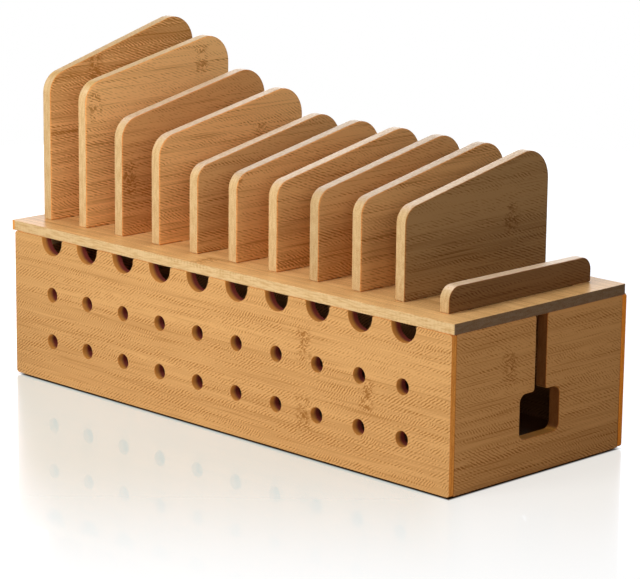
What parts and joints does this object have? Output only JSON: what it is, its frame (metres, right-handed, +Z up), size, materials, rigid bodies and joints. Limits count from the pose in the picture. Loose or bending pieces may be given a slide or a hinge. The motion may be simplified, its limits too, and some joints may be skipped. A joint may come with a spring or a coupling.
{
  "type": "charging station organizer",
  "caption": "Bamboo charging station organizer: a vented cable box with a lift-off lid that carries pull-out upright dividers of falling height and a low end stop.",
  "frame": {"origin": "centre of the whole part's bounding box at the underside of the feet", "axes": "+X along the length to the end with the cord opening, +Y to the back, the dividers' high side, +Z up"},
  "size_m": [0.4014, 0.1588, 0.2333],
  "materials": {
    "bamboo_long_wall": "clear satin lacquer, fine straight grain along X",
    "bamboo_end_wall": "clear satin lacquer, fine straight grain along Y",
    "bamboo_base": "sanded, thin lacquer",
    "bamboo_lid": "clear satin lacquer, fine straight grain along X",
    "bamboo_block": "sanded, unfinished",
    "bamboo_divider": "clear satin lacquer, fine straight grain along Y",
    "bamboo_stop": "clear satin lacquer, fine straight grain along Y",
    "rubber_foot": "matt black rubber"
  },
  "bodies": {
    "box": {"front_wall": "bamboo_long_wall", "back_wall": "bamboo_long_wall", "left_end_wall": "bamboo_end_wall", "right_end_wall": "bamboo_end_wall", "base_board": "bamboo_base", "foot_front_left": "rubber_foot", "foot_front_right": "rubber_foot", "foot_back_left": "rubber_foot", "foot_back_right": "rubber_foot"},
    "lid": {"lid_board": "bamboo_lid", "locator_front_left": "bamboo_block", "locator_front_right": "bamboo_block", "locator_back_left": "bamboo_block", "locator_back_right": "bamboo_block"},
    "divider_1": {"divider_1": "bamboo_divider"},
    "divider_2": {"divider_2": "bamboo_divider"},
    "divider_3": {"divider_3": "bamboo_divider"},
    "divider_4": {"divider_4": "bamboo_divider"},
    "divider_5": {"divider_5": "bamboo_divider"},
    "divider_6": {"divider_6": "bamboo_divider"},
    "divider_7": {"divider_7": "bamboo_divider"},
    "divider_8": {"divider_8": "bamboo_divider"},
    "divider_9": {"divider_9": "bamboo_divider"},
    "divider_10": {"divider_10": "bamboo_divider"},
    "end_stop": {"end_stop": "bamboo_stop"}
  },
  "joints": [
    {"name": "lid_lift", "type": "slide", "parent": "box", "child": "lid", "axis": [0, 0, 1], "range_m": [0, 0.13]},
    {"name": "divider_1_pull", "type": "slide", "parent": "lid", "child": "divider_1", "axis": [0, 0, 1], "range_m": [0, 0.05]},
    {"name": "divider_2_pull", "type": "slide", "parent": "lid", "child": "divider_2", "axis": [0, 0, 1], "range_m": [0, 0.05]},
    {"name": "divider_3_pull", "type": "slide", "parent": "lid", "child": "divider_3", "axis": [0, 0, 1], "range_m": [0, 0.05]},
    {"name": "divider_4_pull", "type": "slide", "parent": "lid", "child": "divider_4", "axis": [0, 0, 1], "range_m": [0, 0.05]},
    {"name": "divider_5_pull", "type": "slide", "parent": "lid", "child": "divider_5", "axis": [0, 0, 1], "range_m": [0, 0.05]},
    {"name": "divider_6_pull", "type": "slide", "parent": "lid", "child": "divider_6", "axis": [0, 0, 1], "range_m": [0, 0.05]},
    {"name": "divider_7_pull", "type": "slide", "parent": "lid", "child": "divider_7", "axis": [0, 0, 1], "range_m": [0, 0.05]},
    {"name": "divider_8_pull", "type": "slide", "parent": "lid", "child": "divider_8", "axis": [0, 0, 1], "range_m": [0, 0.05]},
    {"name": "divider_9_pull", "type": "slide", "parent": "lid", "child": "divider_9", "axis": [0, 0, 1], "range_m": [0, 0.05]},
    {"name": "divider_10_pull", "type": "slide", "parent": "lid", "child": "divider_10", "axis": [0, 0, 1], "range_m": [0, 0.05]},
    {"name": "end_stop_pull", "type": "slide", "parent": "lid", "child": "end_stop", "axis": [0, 0, 1], "range_m": [0, 0.05]}
  ]
}
